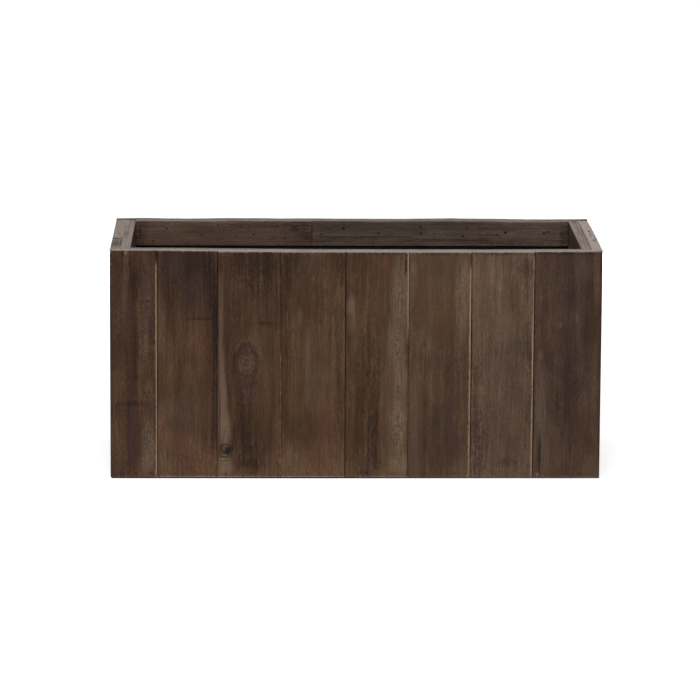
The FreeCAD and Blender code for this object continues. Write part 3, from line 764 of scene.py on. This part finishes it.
# Marks of each front board in the same form, each over those before it
FRONT_MARKS = {
    1: (
        ("dark", 133, 300, 5, 50, 60), ("dark", 136, 352, 4, 40, 60), ("plum", 133, 440, 5, 40, 50),
        ("red", 131, 330, 4, 46, 30), ("olive", 148, 372, 3.5, 22, 30), ("grey", 148, 440, 7, 32, 60),
        ("grey", 148, 290, 6, 34, 35), ("grey", 146, 340, 3, 24, 35), ("plum", 150.5, 322, 2.2, 22, 60),
        ("dark", 132, 404, 24, 4, 50), ("red", 116, 392, 3.6, 11, 45), ("black", 122, 253.6, 1.5, 4, 95),
        ("bright", 125.5, 253.2, 0.9, 2.4, 60), ("pale", 148, 462, 7, 14, 50), ("pale", 152, 449, 4, 16, 40),
        ("dark", 122, 466, 14, 9, 30), ("plum", 118, 474.6, 12, 4.4, 75), ("dark", 120, 262, 9, 10, 35),
        ("dark", 122, 354, 12, 24, 25), ("dark", 124, 402, 13, 24, 25), ("grey", 150, 392, 5, 16, 40),
        ("dark", 118, 411, 9, 11, 30), ("dark", 144, 284, 9, 24, 40), ("dark", 130, 376, 9, 12, 25),
    ),
    2: (
        ("dark", 190, 258, 36, 34, 65), ("plum", 174, 268, 10, 20, 40), ("plum", 196, 286, 14, 14, 35),
        # The dark bands at 214 and 215 along the right edge are painted shade beside the joint
        ("dark", 215, 320, 4, 70, 80), ("dark", 214, 420, 4, 52, 60), ("dark", 209, 290, 5, 40, 50),
        ("red", 197, 340, 12, 26, 30), ("dark", 200, 319, 16, 1.6, 60), ("red", 196, 404, 5, 12, 30),
        ("red", 178, 446, 20, 20, 40), ("red", 198, 460, 16, 14, 40), ("bright", 190.6, 441, 0.6, 3.2, 35),
        ("grey", 164, 458, 3.6, 14, 40), ("tan", 170, 372, 6, 40, 25), ("dark", 188, 384, 4, 20, 20),
        ("grey", 168, 410, 10, 14, 35), ("grey", 160, 330, 3, 40, 25), ("rose", 160, 428, 7, 24, 50),
        ("core", 161, 462, 4, 12, 55), ("grey", 190, 412, 22, 26, 20), ("rose", 188, 447, 14, 15, 25),
        ("rose", 168, 440, 8, 18, 30), ("rose", 190, 376, 9, 12, 25),
    ),
    3: (
        ("dark", 256, 258, 28, 26, 55), ("pale", 221, 314, 3, 42, 36), ("pale", 221.6, 366, 3.4, 26, 50),
        ("pale", 224, 424, 6.4, 28, 75), ("pale", 222.4, 391, 4.2, 17, 70), ("dark", 264, 323.5, 15, 1.8, 65),
        ("plum", 246, 392, 12, 20, 45), ("plum", 247, 350, 9, 6.5, 55), ("dark", 246, 424, 10, 30, 50),
        ("core", 246.4, 365.4, 9, 9, 35), ("ring", 245, 364.6, 2, 1.5, 85), ("ring", 253.6, 371, 2.4, 2.6, 60),
        ("dark", 224, 457.2, 5, 0.9, 80), ("dark", 225, 460.6, 4, 0.8, 60), ("dark", 234, 360, 2.6, 14, 50),
        ("red", 277, 366, 3.4, 42, 50), ("red", 276.5, 436, 3.4, 36, 50), ("bright", 225, 455.4, 4.4, 0.9, 25),
        ("bright", 223.4, 458.8, 5.4, 0.9, 60), ("pale", 223, 462, 6, 1.2, 50), ("grey", 223, 468, 7, 6, 55),
        ("dark", 252, 456, 16, 14, 45), ("tan", 266, 392, 5, 40, 25), ("olive", 264, 352, 5, 30, 30),
        ("dark", 252, 318, 28, 42, 22), ("dark", 264, 284, 18, 22, 35), ("dark", 257, 382, 10, 16, 40),
        ("dark", 246, 465, 16, 9, 60), ("pale", 225, 467, 8, 10, 75), ("dark", 238, 394, 7, 14, 30),
        ("dark", 238, 303, 8, 14, 25), ("dark", 222, 262, 8, 12, 30), ("dark", 229, 402, 2.2, 24, 40),
        ("dark", 234, 438, 3, 18, 45), ("pale", 227.4, 432, 5, 18, 40), ("rose", 223.6, 400, 4.4, 17, 65),
        ("plum", 259, 364, 5, 13, 40), ("pale", 226, 468, 7, 8, 50), ("black", 219.7, 408, 0.6, 46, 55),
        ("black", 228.4, 450.8, 3.7, 4.4, 92), ("core", 223.6, 447.6, 2.4, 1.7, 65),
        ("core", 230.2, 446.8, 1.1, 1, 40),
    ),
    4: (
        ("dark", 292, 260, 15, 28, 60), ("plum", 312, 261, 12, 16, 45), ("grey", 308, 350, 4.4, 26, 45),
        ("olive", 307, 386, 3.4, 20, 45), ("pale", 300, 318, 4, 12, 35), ("red", 330, 310, 6, 24, 35),
        ("dark", 336, 314, 7, 18, 30), ("red", 325, 380, 7, 34, 35), ("red", 328, 432, 7, 30, 35),
        ("red", 310, 462, 22, 12, 30), ("bright", 313.8, 278, 0.6, 2.2, 40), ("black", 339.5, 403, 3, 0.9, 70),
        ("dark", 307, 418, 4, 14, 30), ("dark", 340, 264, 6, 18, 55), ("tan", 312, 402, 22, 16, 15),
        ("rose", 320, 420, 8, 22, 25), ("dark", 287, 286, 8, 44, 40), ("dark", 286, 342, 6, 16, 30),
        ("red", 283.4, 446, 3, 16, 60), ("dark", 341, 350, 3, 60, 40), ("dark", 320, 430, 5, 24, 10),
        ("dark", 312, 304, 34, 26, 20), ("grey", 318, 380, 13, 26, 30), ("red", 322, 456, 20, 14, 30),
        # The last tan mark, low on the board, is painted light bounced from the floor
        ("rose", 322, 448, 12, 12, 25), ("tan", 312, 471, 34, 7, 20),
    ),
    5: (
        ("pale", 397, 346, 12, 34, 70), ("pale", 398, 424, 13, 52, 75), ("pale", 401, 296, 12, 46, 60),
        ("pale", 400, 378, 13, 24, 65), ("pale", 400, 466, 12, 15, 65), ("pale", 405, 466, 5, 12, 40),
        ("dark", 378, 462, 7, 14, 40), ("dark", 362, 372, 14, 36, 40), ("dark", 382, 357, 7, 12, 30),
        ("dark", 364, 463, 16, 12, 35), ("dark", 347, 340, 5, 16, 40), ("dark", 346, 302, 3, 18, 50),
        ("pale", 351.2, 306, 4.8, 11.5, 58), ("pale", 350, 324, 3, 12, 25), ("red", 357, 322, 2.4, 16, 55),
        ("rose", 354, 322, 1.8, 14, 60), ("red", 372, 306, 10, 15, 35), ("red", 388, 266, 9, 14, 30),
        ("red", 392, 408, 2.2, 8, 55), ("dark", 372, 396, 8, 40, 45), ("dark", 376, 440, 8, 30, 40),
        ("black", 406, 265, 1.1, 11, 90), ("black", 374.5, 449, 1, 4, 50), ("plum", 366, 474, 8, 4, 80),
        ("black", 365, 472.4, 2, 1.4, 60), ("dark", 366, 344, 5, 26, 40), ("dark", 380, 253.8, 34, 1.6, 40),
        # This tan mark, low on the board, is painted light bounced from the floor
        ("tan", 388, 471, 10, 5, 20),
    ),
    6: (
        # The black line at 409.9 is a painted shadow along the edge of the joint
        ("grey", 413, 282, 6, 24, 45), ("black", 409.9, 263, 0.8, 10, 60), ("pale", 413.6, 268, 3.2, 9, 45),
        ("pale", 463, 288, 8, 34, 50), ("pale", 464, 322, 6, 22, 40), ("plum", 452, 400, 10, 34, 40),
        ("plum", 455, 446, 9, 26, 40), ("dark", 440, 380, 34, 30, 10), ("tan", 438, 304, 22, 30, 22),
        ("grey", 442, 284, 12, 14, 20), ("dark", 436, 364, 28, 18, 30), ("grey", 413, 420, 7, 60, 40),
        ("pale", 466, 276, 5, 24, 35), ("amber", 471, 390, 1.4, 80, 95), ("amber", 467.4, 400, 1, 60, 25),
        ("plum", 425, 320, 5, 24, 35), ("dark", 438, 253.8, 36, 1.7, 50), ("dark", 436, 446, 30, 30, 10),
    ),
    7: (
        ("tan", 477, 282, 6, 26, 60), ("grey", 478, 286, 6, 14, 50), ("tan", 476, 308, 3.6, 14, 35),
        ("red", 477, 289, 3, 7, 30), ("pale", 499.5, 287, 3, 6, 75), ("plum", 507, 352, 9, 30, 30),
        ("olive", 521, 310, 6, 34, 35), ("olive", 518, 360, 5, 28, 35), ("olive", 516, 430, 8, 38, 40),
        ("plum", 482, 440, 7, 32, 40), ("dark", 500, 440, 30, 44, 20), ("pale", 492, 270, 9, 20, 25),
        ("dark", 526, 266, 12, 12, 45), ("dark", 527, 350, 6, 32, 55), ("dark", 476, 424, 6, 56, 55),
        ("dark", 479, 375, 5, 16, 30), ("pale", 514, 420, 8, 26, 30), ("dark", 505, 462, 11, 6, 35),
        ("amber", 533.4, 390, 1.4, 80, 95), ("amber", 530.2, 390, 1.1, 70, 40), ("dark", 529, 280, 5, 30, 35),
        ("dark", 502, 254, 40, 1.9, 60), ("pale", 512, 326, 10, 18, 25), ("dark", 478, 466, 9, 10, 30),
        ("amber", 471, 330, 1.8, 50, 85), ("amber", 470, 420, 2.2, 60, 95),
    ),
    8: (
        ("rose", 597, 278, 3.4, 40, 40), ("olive", 595, 380, 3.6, 44, 50), ("olive", 595, 446, 4, 30, 50),
        ("plum", 568, 290, 16, 30, 35), ("dark", 575, 294, 10, 18, 30), ("dark", 587, 446, 7, 14, 30),
        ("plum", 570, 370, 18, 40, 35), ("grey", 541, 355, 3, 6, 60), ("grey", 540, 396, 7, 44, 50),
        ("grey", 541, 440, 8, 40, 50), ("black", 539.2, 456, 2, 22, 85), ("grey", 577.5, 318, 2.2, 4.6, 40),
        ("grey", 560, 325, 2.4, 4, 36), ("grey", 542, 298, 2, 3, 45), ("grey", 538, 304, 5, 16, 30),
        ("dark", 569, 406, 18, 46, 50), ("dark", 548, 272, 12, 16, 30), ("dark", 550, 357, 7, 14, 30),
        ("dark", 574, 357, 9, 14, 25), ("bright", 536.8, 474.4, 2.0, 2.4, 40), ("red", 582, 440, 10, 30, 15),
        ("grey", 587, 268, 9, 14, 25), ("dark", 566, 253.6, 38, 1.7, 45), ("amber", 533.6, 320, 1.8, 60, 80),
        ("amber", 532.2, 420, 2.2, 60, 95),
    ),
}

# Front boards that all but touch a neighbour, and on which side
TIGHT_SIDES = {3: ("right",), 4: ("left",), 5: ("right",), 6: ("left",)}

# Sizes of the pits round the brads at the foot of the front boards
FRONT_PITS = (0.8, 0.45, 0.8, 0.6, 0.8, 0.7, 0.5, 0.45)

# Bare grey wood on the rim, from its dark to its light grain
ENDS = {
    "front": tones((118, 106, 100), (156, 145, 138), (182, 171, 164)),
    "back": tones((92, 82, 77), (130, 119, 112), (158, 147, 139)),
    "left": tones((108, 94, 86), (150, 136, 126), (178, 164, 153)),
    "right": tones((124, 110, 104), (171, 157, 150), (196, 183, 176)),
    "front_rail": tones((98, 88, 83), (136, 126, 120), (164, 154, 147)),
    "left_rail": tones((100, 90, 82), (137, 126, 117), (163, 152, 143)),
    "right_rail": tones((106, 94, 87), (143, 130, 122), (170, 157, 149)),
    "back_rail": tones((92, 83, 78), (130, 120, 113), (158, 148, 140)),
}
# Marks on the rim, as on the front boards
RIM_MARKS = {
    "front": (("rim_seam", 122, 249.8, 0.9, 0.8, 70), ("rim_tan", 125.4, 249.6, 3, 0.8, 50)),
    "left": (
        ("rim_dark", 115.4, 243, 6.6, 6, 85), ("rim_tan", 119.6, 226, 3, 3.4, 45),
        ("rim_tan", 120, 231, 3, 1.6, 40), ("rim_seam", 121, 241.6, 0.9, 7, 85),
        ("rim_seam", 116, 238.4, 6.4, 0.9, 80),
    ),
    "right": (
        ("rim_seam", 589, 231.2, 1.8, 1.1, 75), ("rim_dark", 594.5, 240.5, 2, 1.3, 70),
        ("rim_pale", 585, 224, 2.6, 2.4, 50), ("rim_dark", 591, 235, 2, 3, 35), ("rim_pale", 594, 246, 4, 2.4, 40),
    ),
    # The pale strip at 132 on the left top rail is a painted highlight on its lit inner edge
    "left_top_rail": (("rim_pale", 132, 228, 1.6, 12, 30), ("rim_dark", 126, 233.6, 4, 3.4, 45)),
    "right_top_rail": (("rim_dark", 574, 222, 3, 2.4, 45),),
}
# Dark seam between the right rail and the boards outside it
RIGHT_SEAM = ("rim_seam", Vector((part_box("right_top_rail")[1].x, 0, RIM)), (1.4 * MM, 220 * MM, 0), 0.75)

# Painted highlight along the front edge of the rim
FRONT_EDGE_HIGHLIGHT = ("rim_pale", Vector((0.05, 2 * MM - DEPTH_HALF, RIM)), (420 * MM, 6 * MM, 0), 0.55)


# A board that the photograph doesn't show
WALL_LOOK = {
    "rounds": (0.9, 1.5, 1.4, 1.2), "speckle": 0.75, "painted_shade": 0.8,
    "wear": {"right": ((0, 0.6), (0.2, 0.2), (0.35, 0.7)), "foot": 0.6, "rim": 0.5},
}


def board_look(number, wall):
    """How a board looks. One that the photograph doesn't show has the stain of one that it does."""
    if wall == "front":
        return {**FRONT_LOOKS[number], "marks": FRONT_MARKS[number]}
    return {**WALL_LOOK, "stain": FRONT_LOOKS[1 + (number * 3 + len(wall)) % len(FRONT_LOOKS)]["stain"]}


for wall in ("front", "back", "left", "right"):
    brads = brad_middles(wall + "_floor_brads")
    names = sorted(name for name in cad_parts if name.startswith(wall + "_board_"))
    for number, node in enumerate(names, 1):
        look = board_look(number, wall)
        look.update(seed=2.1 * number + 31 * len(wall), slot="wall_wood", rim_line=wall, end=ENDS[wall])
        look["rim_marks"] = [on_rim(*mark) for mark in RIM_MARKS.get(wall, ())]
        if wall == "right":
            look["rim_marks"].append(RIGHT_SEAM)
            look["bowed"] = True
        if wall == "front":
            look["rim_marks"].append(FRONT_EDGE_HIGHLIGHT)
            look.update(tight=TIGHT_SIDES.get(number, ()), pit=FRONT_PITS[number - 1], lifted=True)
            for key in ("marks", "speckles", "knots", "arcs"):
                look[key] = [on_face(-DEPTH_HALF, *mark) for mark in look.get(key, ())]
        else:
            look["marks"] = chance_marks(node, 1 if wall == "back" else 0, node)
        if wall == "back" and number in (1, len(names)):
            look["corner"] = "left" if number == 1 else "right"
            look["rounds"] = (3, 1.2, 1.4, 1.2) if number == 1 else (0.9, 3, 1.4, 1.2)
        inner = {"left": number > 1, "right": number < len(names)}
        look["closed"] = [side for side, meets in inner.items() if meets]
        plank(node, wall, look, True, brads)

BROWN_RAIL = {
    "stain": tones((58, 42, 33), (86, 67, 55), (110, 90, 76)),
    "rounds": (0.4, 0.4, 1.1, 1.1), "slot": "rail_wood", "wave": 0.4, "broad": 0.7, "streak": 0.5, "speckle": 0.5,
    "wear": {"foot": 0.4, "rim": 0.35}, "end": ENDS["back_rail"],
}
GREY_RAIL = {**BROWN_RAIL, "stain": tones((58, 45, 39), (86, 71, 63), (112, 97, 88))}
WORN_EDGE = {"foot": 0.4, "rim": 0.8}
RAILS = {
    "front_top_rail": ("back", {**BROWN_RAIL, "rim_line": "front_rail", "end": ENDS["front_rail"]}),
    "back_top_rail_left": ("front", {
        **BROWN_RAIL, "rim_line": "back", "pit": 0.9, "wear": {"foot": 0.15, "rim": 0.35},
        "marks": (
            ("plum", 302, 233, 9, 10, 70), ("dark", 294, 228, 6, 4, 50), ("dark", 308, 237, 5, 5, 50),
            # The dark marks from 136 to 141 at the left end are partly stain and partly painted shade in the inner
            # corner
            ("dark", 140, 232, 1.4, 9, 60), ("plum", 146, 226, 4, 8, 35), ("tan", 186, 237, 20, 4, 30),
            ("red", 166, 224, 8, 4, 30), ("dark", 136, 238, 3, 5, 50), ("olive", 230, 230, 30, 6, 20),
            ("grey", 152, 236, 1.6, 1.6, 50), ("core", 226, 241, 70, 4.4, 35), ("dark", 252, 225, 36, 4, 30),
            ("dark", 290, 225, 9, 4, 40), ("dark", 141, 232, 7, 14, 35), ("core", 180, 232, 30, 6, 25),
            ("rose", 282.4, 243.6, 1.8, 1, 70), ("dark", 303, 224, 12, 5, 55), ("core", 279, 237, 6, 7, 70),
            ("rim_dark", 291, 238, 4, 4, 25), ("dark", 311.8, 231, 0.8, 16, 70),
        ),
    }),
    "back_top_rail_right": ("front", {
        **GREY_RAIL, "rim_line": "back", "pit": 1.3,
        "wear": {"foot": ((0, 0.15), (0.2, 0.2), (0.35, 0.32)), "rim": 0.35},
        "marks": (
            ("dark", 370, 237, 44, 1.2, 50), ("dark", 334, 238, 14, 1.2, 40), ("dark", 450, 240, 44, 1.3, 50),
            ("dark", 319, 241, 8, 3, 35), ("plum", 500, 227, 36, 4, 35), ("olive", 545, 237, 12, 4, 35),
            # The dark and black marks at 564 and 569, at the right end, are painted shade in the inner corner
            ("dark", 484, 240, 10, 3, 45), ("dark", 564, 238, 6, 12, 60), ("black", 569, 233, 2, 18, 60),
            ("rim_dark", 408, 226, 50, 4.6, 30), ("rim_dark", 526, 241, 28, 3, 30),
        ),
    }),
    "left_top_rail": ("right", {**BROWN_RAIL, "wear": WORN_EDGE, "end": ENDS["left_rail"]}),
    "right_top_rail": ("left", {**GREY_RAIL, "wear": WORN_EDGE, "end": ENDS["right_rail"]}),
}
for number, (node, (facing, look)) in enumerate(RAILS.items()):
    look["seed"] = 11.3 + 4.7 * number
    look["marks"] = [on_face(BACK_RAIL_FACE, *mark) for mark in look.get("marks", ())]
    look["rim_marks"] = [on_rim(*mark) for mark in RIM_MARKS.get(node, ())] + [RIGHT_SEAM]
    plank(node, facing, look, False, brad_middles(node.split("_")[0] + "_rail_brads"))

CLEAT = {
    "stain": tones((70, 52, 40), (98, 77, 60), (126, 104, 84)),
    "rounds": (0.8, 0.8, 0.6, 0.6), "slot": "cleat_wood",
}
for number, node in enumerate(("front_left_cleat", "front_right_cleat", "back_left_cleat", "back_right_cleat")):
    plank(node, "right" if "left" in node else "left", {**CLEAT, "seed": 71.9 + 3.3 * number})

FLOOR = {
    "stain": tones((74, 56, 43), (104, 82, 63), (134, 110, 88)),
    "rounds": (0.6, 0.6, 0.8, 0.8), "slot": "floor_wood",
}
for number in (1, 2, 3):
    plank(f"floor_board_{number}", "top", {**FLOOR, "seed": 53.1 + 5.9 * number}, False)


# Noise in the steel and the plastic: its scales, seed, detail and roughness
RUST = (420, 420, 420), 3, 3, 0.6
PEBBLE = (900, 900, 900), 5, 2, 0.5
DUST = (9, 9, 5), 6, 5, 0.68
DRAG = (260, 260, 9), 7, 2, 0.6
# How much of both makes a film of dust, and the heights at which that begins and is full
DUST_BAND, DUST_HIGH = (0.42, 1.05), (0.33, 0.25)


def brad_steel():
    """Dull dark steel, browned by rust in patches."""
    paint = Paint("brad_steel")
    rust = paint.cloud(paint.place(), *RUST)
    colour = paint.ramp(rust, (0.35, tone(26, 21, 19)), (0.6, tone(46, 31, 24)))
    sockets = {"Base Color": colour, "Metallic": 0.35, "Roughness": 0.5 + rust * 0.4, "Specular IOR Level": 0.25}
    return paint.finish(sockets, rust, 0.3, 0.2 * MM)


def liner_plastic():
    """Black moulded plastic with a faint grain, dust and drag marks."""
    paint = Paint("liner_plastic")
    place = paint.place()
    pebble, dust, drag = (paint.cloud(place, *setup) for setup in (PEBBLE, DUST, DRAG))
    film = paint.band(dust + drag * 0.35, *DUST_BAND) * paint.band(paint.parts(place)[2], *DUST_HIGH)
    colour = paint.mix(film, tone(6, 4, 3), tone(38, 34, 31))
    rough = 0.5 + pebble * 0.15 + film * 0.25
    sockets = {"Base Color": colour, "Roughness": rough, "Specular IOR Level": 0.15}
    return paint.finish(sockets, pebble + drag * 0.4, 0.25, 0.2 * MM)


def assign(node, material):
    """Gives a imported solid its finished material."""
    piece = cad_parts[node]
    piece.data.materials.clear()
    piece.data.materials.append(material)


steel = brad_steel()
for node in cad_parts:
    if node.endswith("_brads"):
        assign(node, steel)
assign("liner", liner_plastic())

# Half the floor's side, its tone as it lights the planter and as it shows, and its glow near and further away
FLOOR_HALF = 30
FLOOR_LIGHT, FLOOR_SHOWN = tone(190, 190, 190), tone(238, 238, 238)
GLOW_BAND, GLOW, FAR_GLOW = (0.9, 3.2), 0.56, 0.28


def stage():
    """Plain white floor, which keeps a soft shadow round the planter and lights it less than it shows."""
    bm = bmesh.new()
    bmesh.ops.create_grid(bm, x_segments=2, y_segments=2, size=FLOOR_HALF)
    floor = add_mesh("floor", bm)
    paint = Paint("floor_white")
    rays = paint.node("ShaderNodeLightPath", {}, {})
    seen = Wire(paint, rays.outputs["Is Camera Ray"])
    for kind in ("Is Glossy Ray", "Is Transmission Ray"):
        seen = paint.math("MAXIMUM", seen, Wire(paint, rays.outputs[kind]))
    matt = paint.out("ShaderNodeBsdfDiffuse", {}, {"Color": FLOOR_LIGHT})
    far = paint.band(paint.length(paint.place()), *GLOW_BAND)
    grey = GLOW + far * FAR_GLOW
    glow = paint.out("ShaderNodeEmission", {}, {"Color": paint.join(grey, grey, grey), "Strength": 1})
    white = paint.out("ShaderNodeBsdfDiffuse", {}, {"Color": FLOOR_SHOWN})
    both = paint.out("ShaderNodeAddShader", {}, {0: white, 1: glow})
    shown = paint.out("ShaderNodeMixShader", {}, {0: seen, 1: matt, 2: both})
    paint.node("ShaderNodeOutputMaterial", {}, {"Surface": shown})
    floor.data.materials.append(paint.material)


def lamp(name, place, aim, wide, high, power):
    """A soft lamp that the camera doesn't see."""
    light = bpy.data.lights.new(name, "AREA")
    light.shape = "RECTANGLE"
    light.size = wide
    light.size_y = high
    light.energy = power
    holder = add(name, light)
    holder.location = place
    holder.rotation_euler = (Vector(aim) - Vector(place)).to_track_quat("-Z", "Y").to_euler()
    holder.visible_camera = False


# Place, aim, width, height and power of each lamp: the low strips light the back and the ends below the rim
LAMPS = {
    "overhead_softbox": ((0, -0.3, 2.6), (0, 0, 0.2), 2.2, 2.2, 30),
    "front_softbox": ((-0.3, -3.2, 2.0), (0, 0, 0.2), 1.8, 1.8, 62),
    "low_softbox": ((-0.2, -2.4, 0.3), (0, 0, 0.05), 0.9, 0.9, 4),
    "back_strip": ((0, 2.2, 0.19), (0, 0, 0.19), 1.8, 0.3, 26),
    "left_strip": ((-2.2, 0.35, 0.19), (0, 0.35, 0.19), 1.0, 0.3, 18),
    "right_strip": ((2.2, 0.35, 0.19), (0, 0.35, 0.19), 1.0, 0.3, 18),
}
WORLD_LIGHT = 0.2

stage()
for name, setup in LAMPS.items():
    lamp(name, *setup)

world = bpy.data.worlds.new("studio")
bpy.context.scene.world = world
world.use_nodes = True
sky = world.node_tree.nodes["Background"]
sky.inputs["Color"].default_value = (1, 1, 1, 1)
sky.inputs["Strength"].default_value = WORLD_LIGHT


def camera():
    """The photograph's viewpoint."""
    lens = bpy.data.cameras.new("camera")
    lens.sensor_width = 36
    lens.lens = FOCAL * lens.sensor_width
    lens.clip_end = 200
    holder = add("camera", lens)
    turn = camera_turn()
    square = Matrix(turn).transposed().to_4x4()
    holder.matrix_world = Matrix.Translation(AIM + turn[2] * DISTANCE) @ square
    bpy.context.scene.camera = holder


camera()
bpy.context.scene.view_settings.view_transform = "Standard"

bpy.context.view_layer.update()
